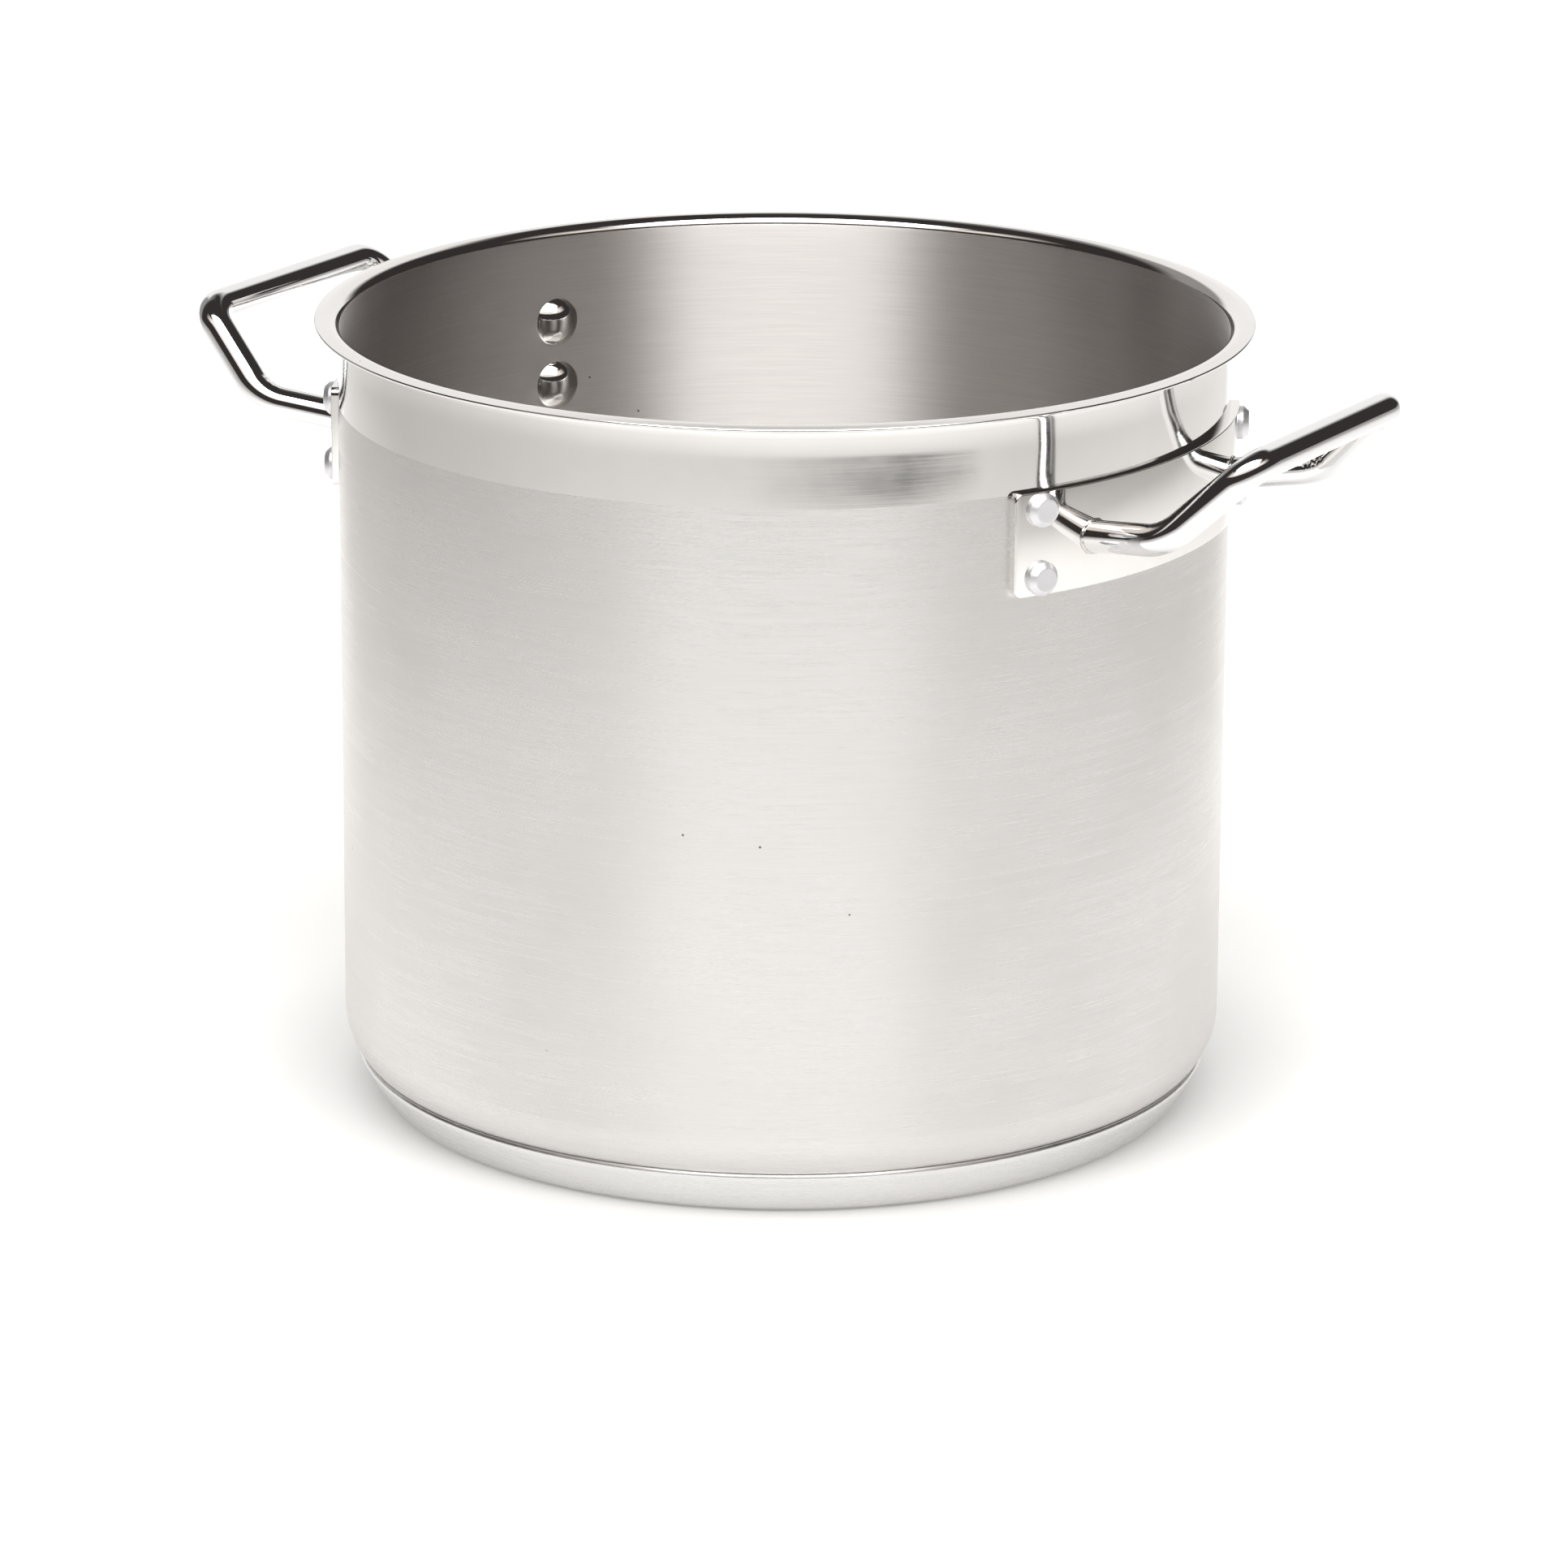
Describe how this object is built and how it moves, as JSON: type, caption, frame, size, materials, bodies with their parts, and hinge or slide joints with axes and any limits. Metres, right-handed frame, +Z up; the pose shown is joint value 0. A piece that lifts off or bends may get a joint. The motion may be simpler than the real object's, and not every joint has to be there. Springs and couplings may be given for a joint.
{
  "type": "stock pot",
  "caption": "Deep round stainless steel stock pot without lid, with a flared pouring rim, a thick bonded base and bent-tube side handles riveted on.",
  "frame": {"origin": "centre of the face the pot stands on", "axes": "+Z up out of the pot's mouth, +X along the line through both handles"},
  "size_m": [0.3918, 0.2968, 0.254],
  "materials": {
    "body_steel": "horizontal brushed grain with a polished band below the rim",
    "base_steel": "satin, spun grain",
    "core_aluminium": "mill finish, sealed inside the base",
    "polished_steel": "mirror polished stainless steel",
    "weld_steel": "polished weld seam, slightly uneven",
    "rivet_steel": "satin outer button, polished inner dome"
  },
  "bodies": {
    "root": {"pot_body": "body_steel", "base_cap": "base_steel", "base_core_disc": "core_aluminium", "handle_bracket_right": "polished_steel", "handle_bracket_left": "polished_steel", "handle_tube_right": "polished_steel", "handle_tube_left": "polished_steel", "handle_weld_right_front": "weld_steel", "handle_weld_right_rear": "weld_steel", "handle_weld_left_front": "weld_steel", "handle_weld_left_rear": "weld_steel", "rivet_right_front_upper": "rivet_steel", "rivet_right_front_lower": "rivet_steel", "rivet_right_rear_upper": "rivet_steel", "rivet_right_rear_lower": "rivet_steel", "rivet_left_front_upper": "rivet_steel", "rivet_left_front_lower": "rivet_steel", "rivet_left_rear_upper": "rivet_steel", "rivet_left_rear_lower": "rivet_steel"}
  },
  "joints": []
}
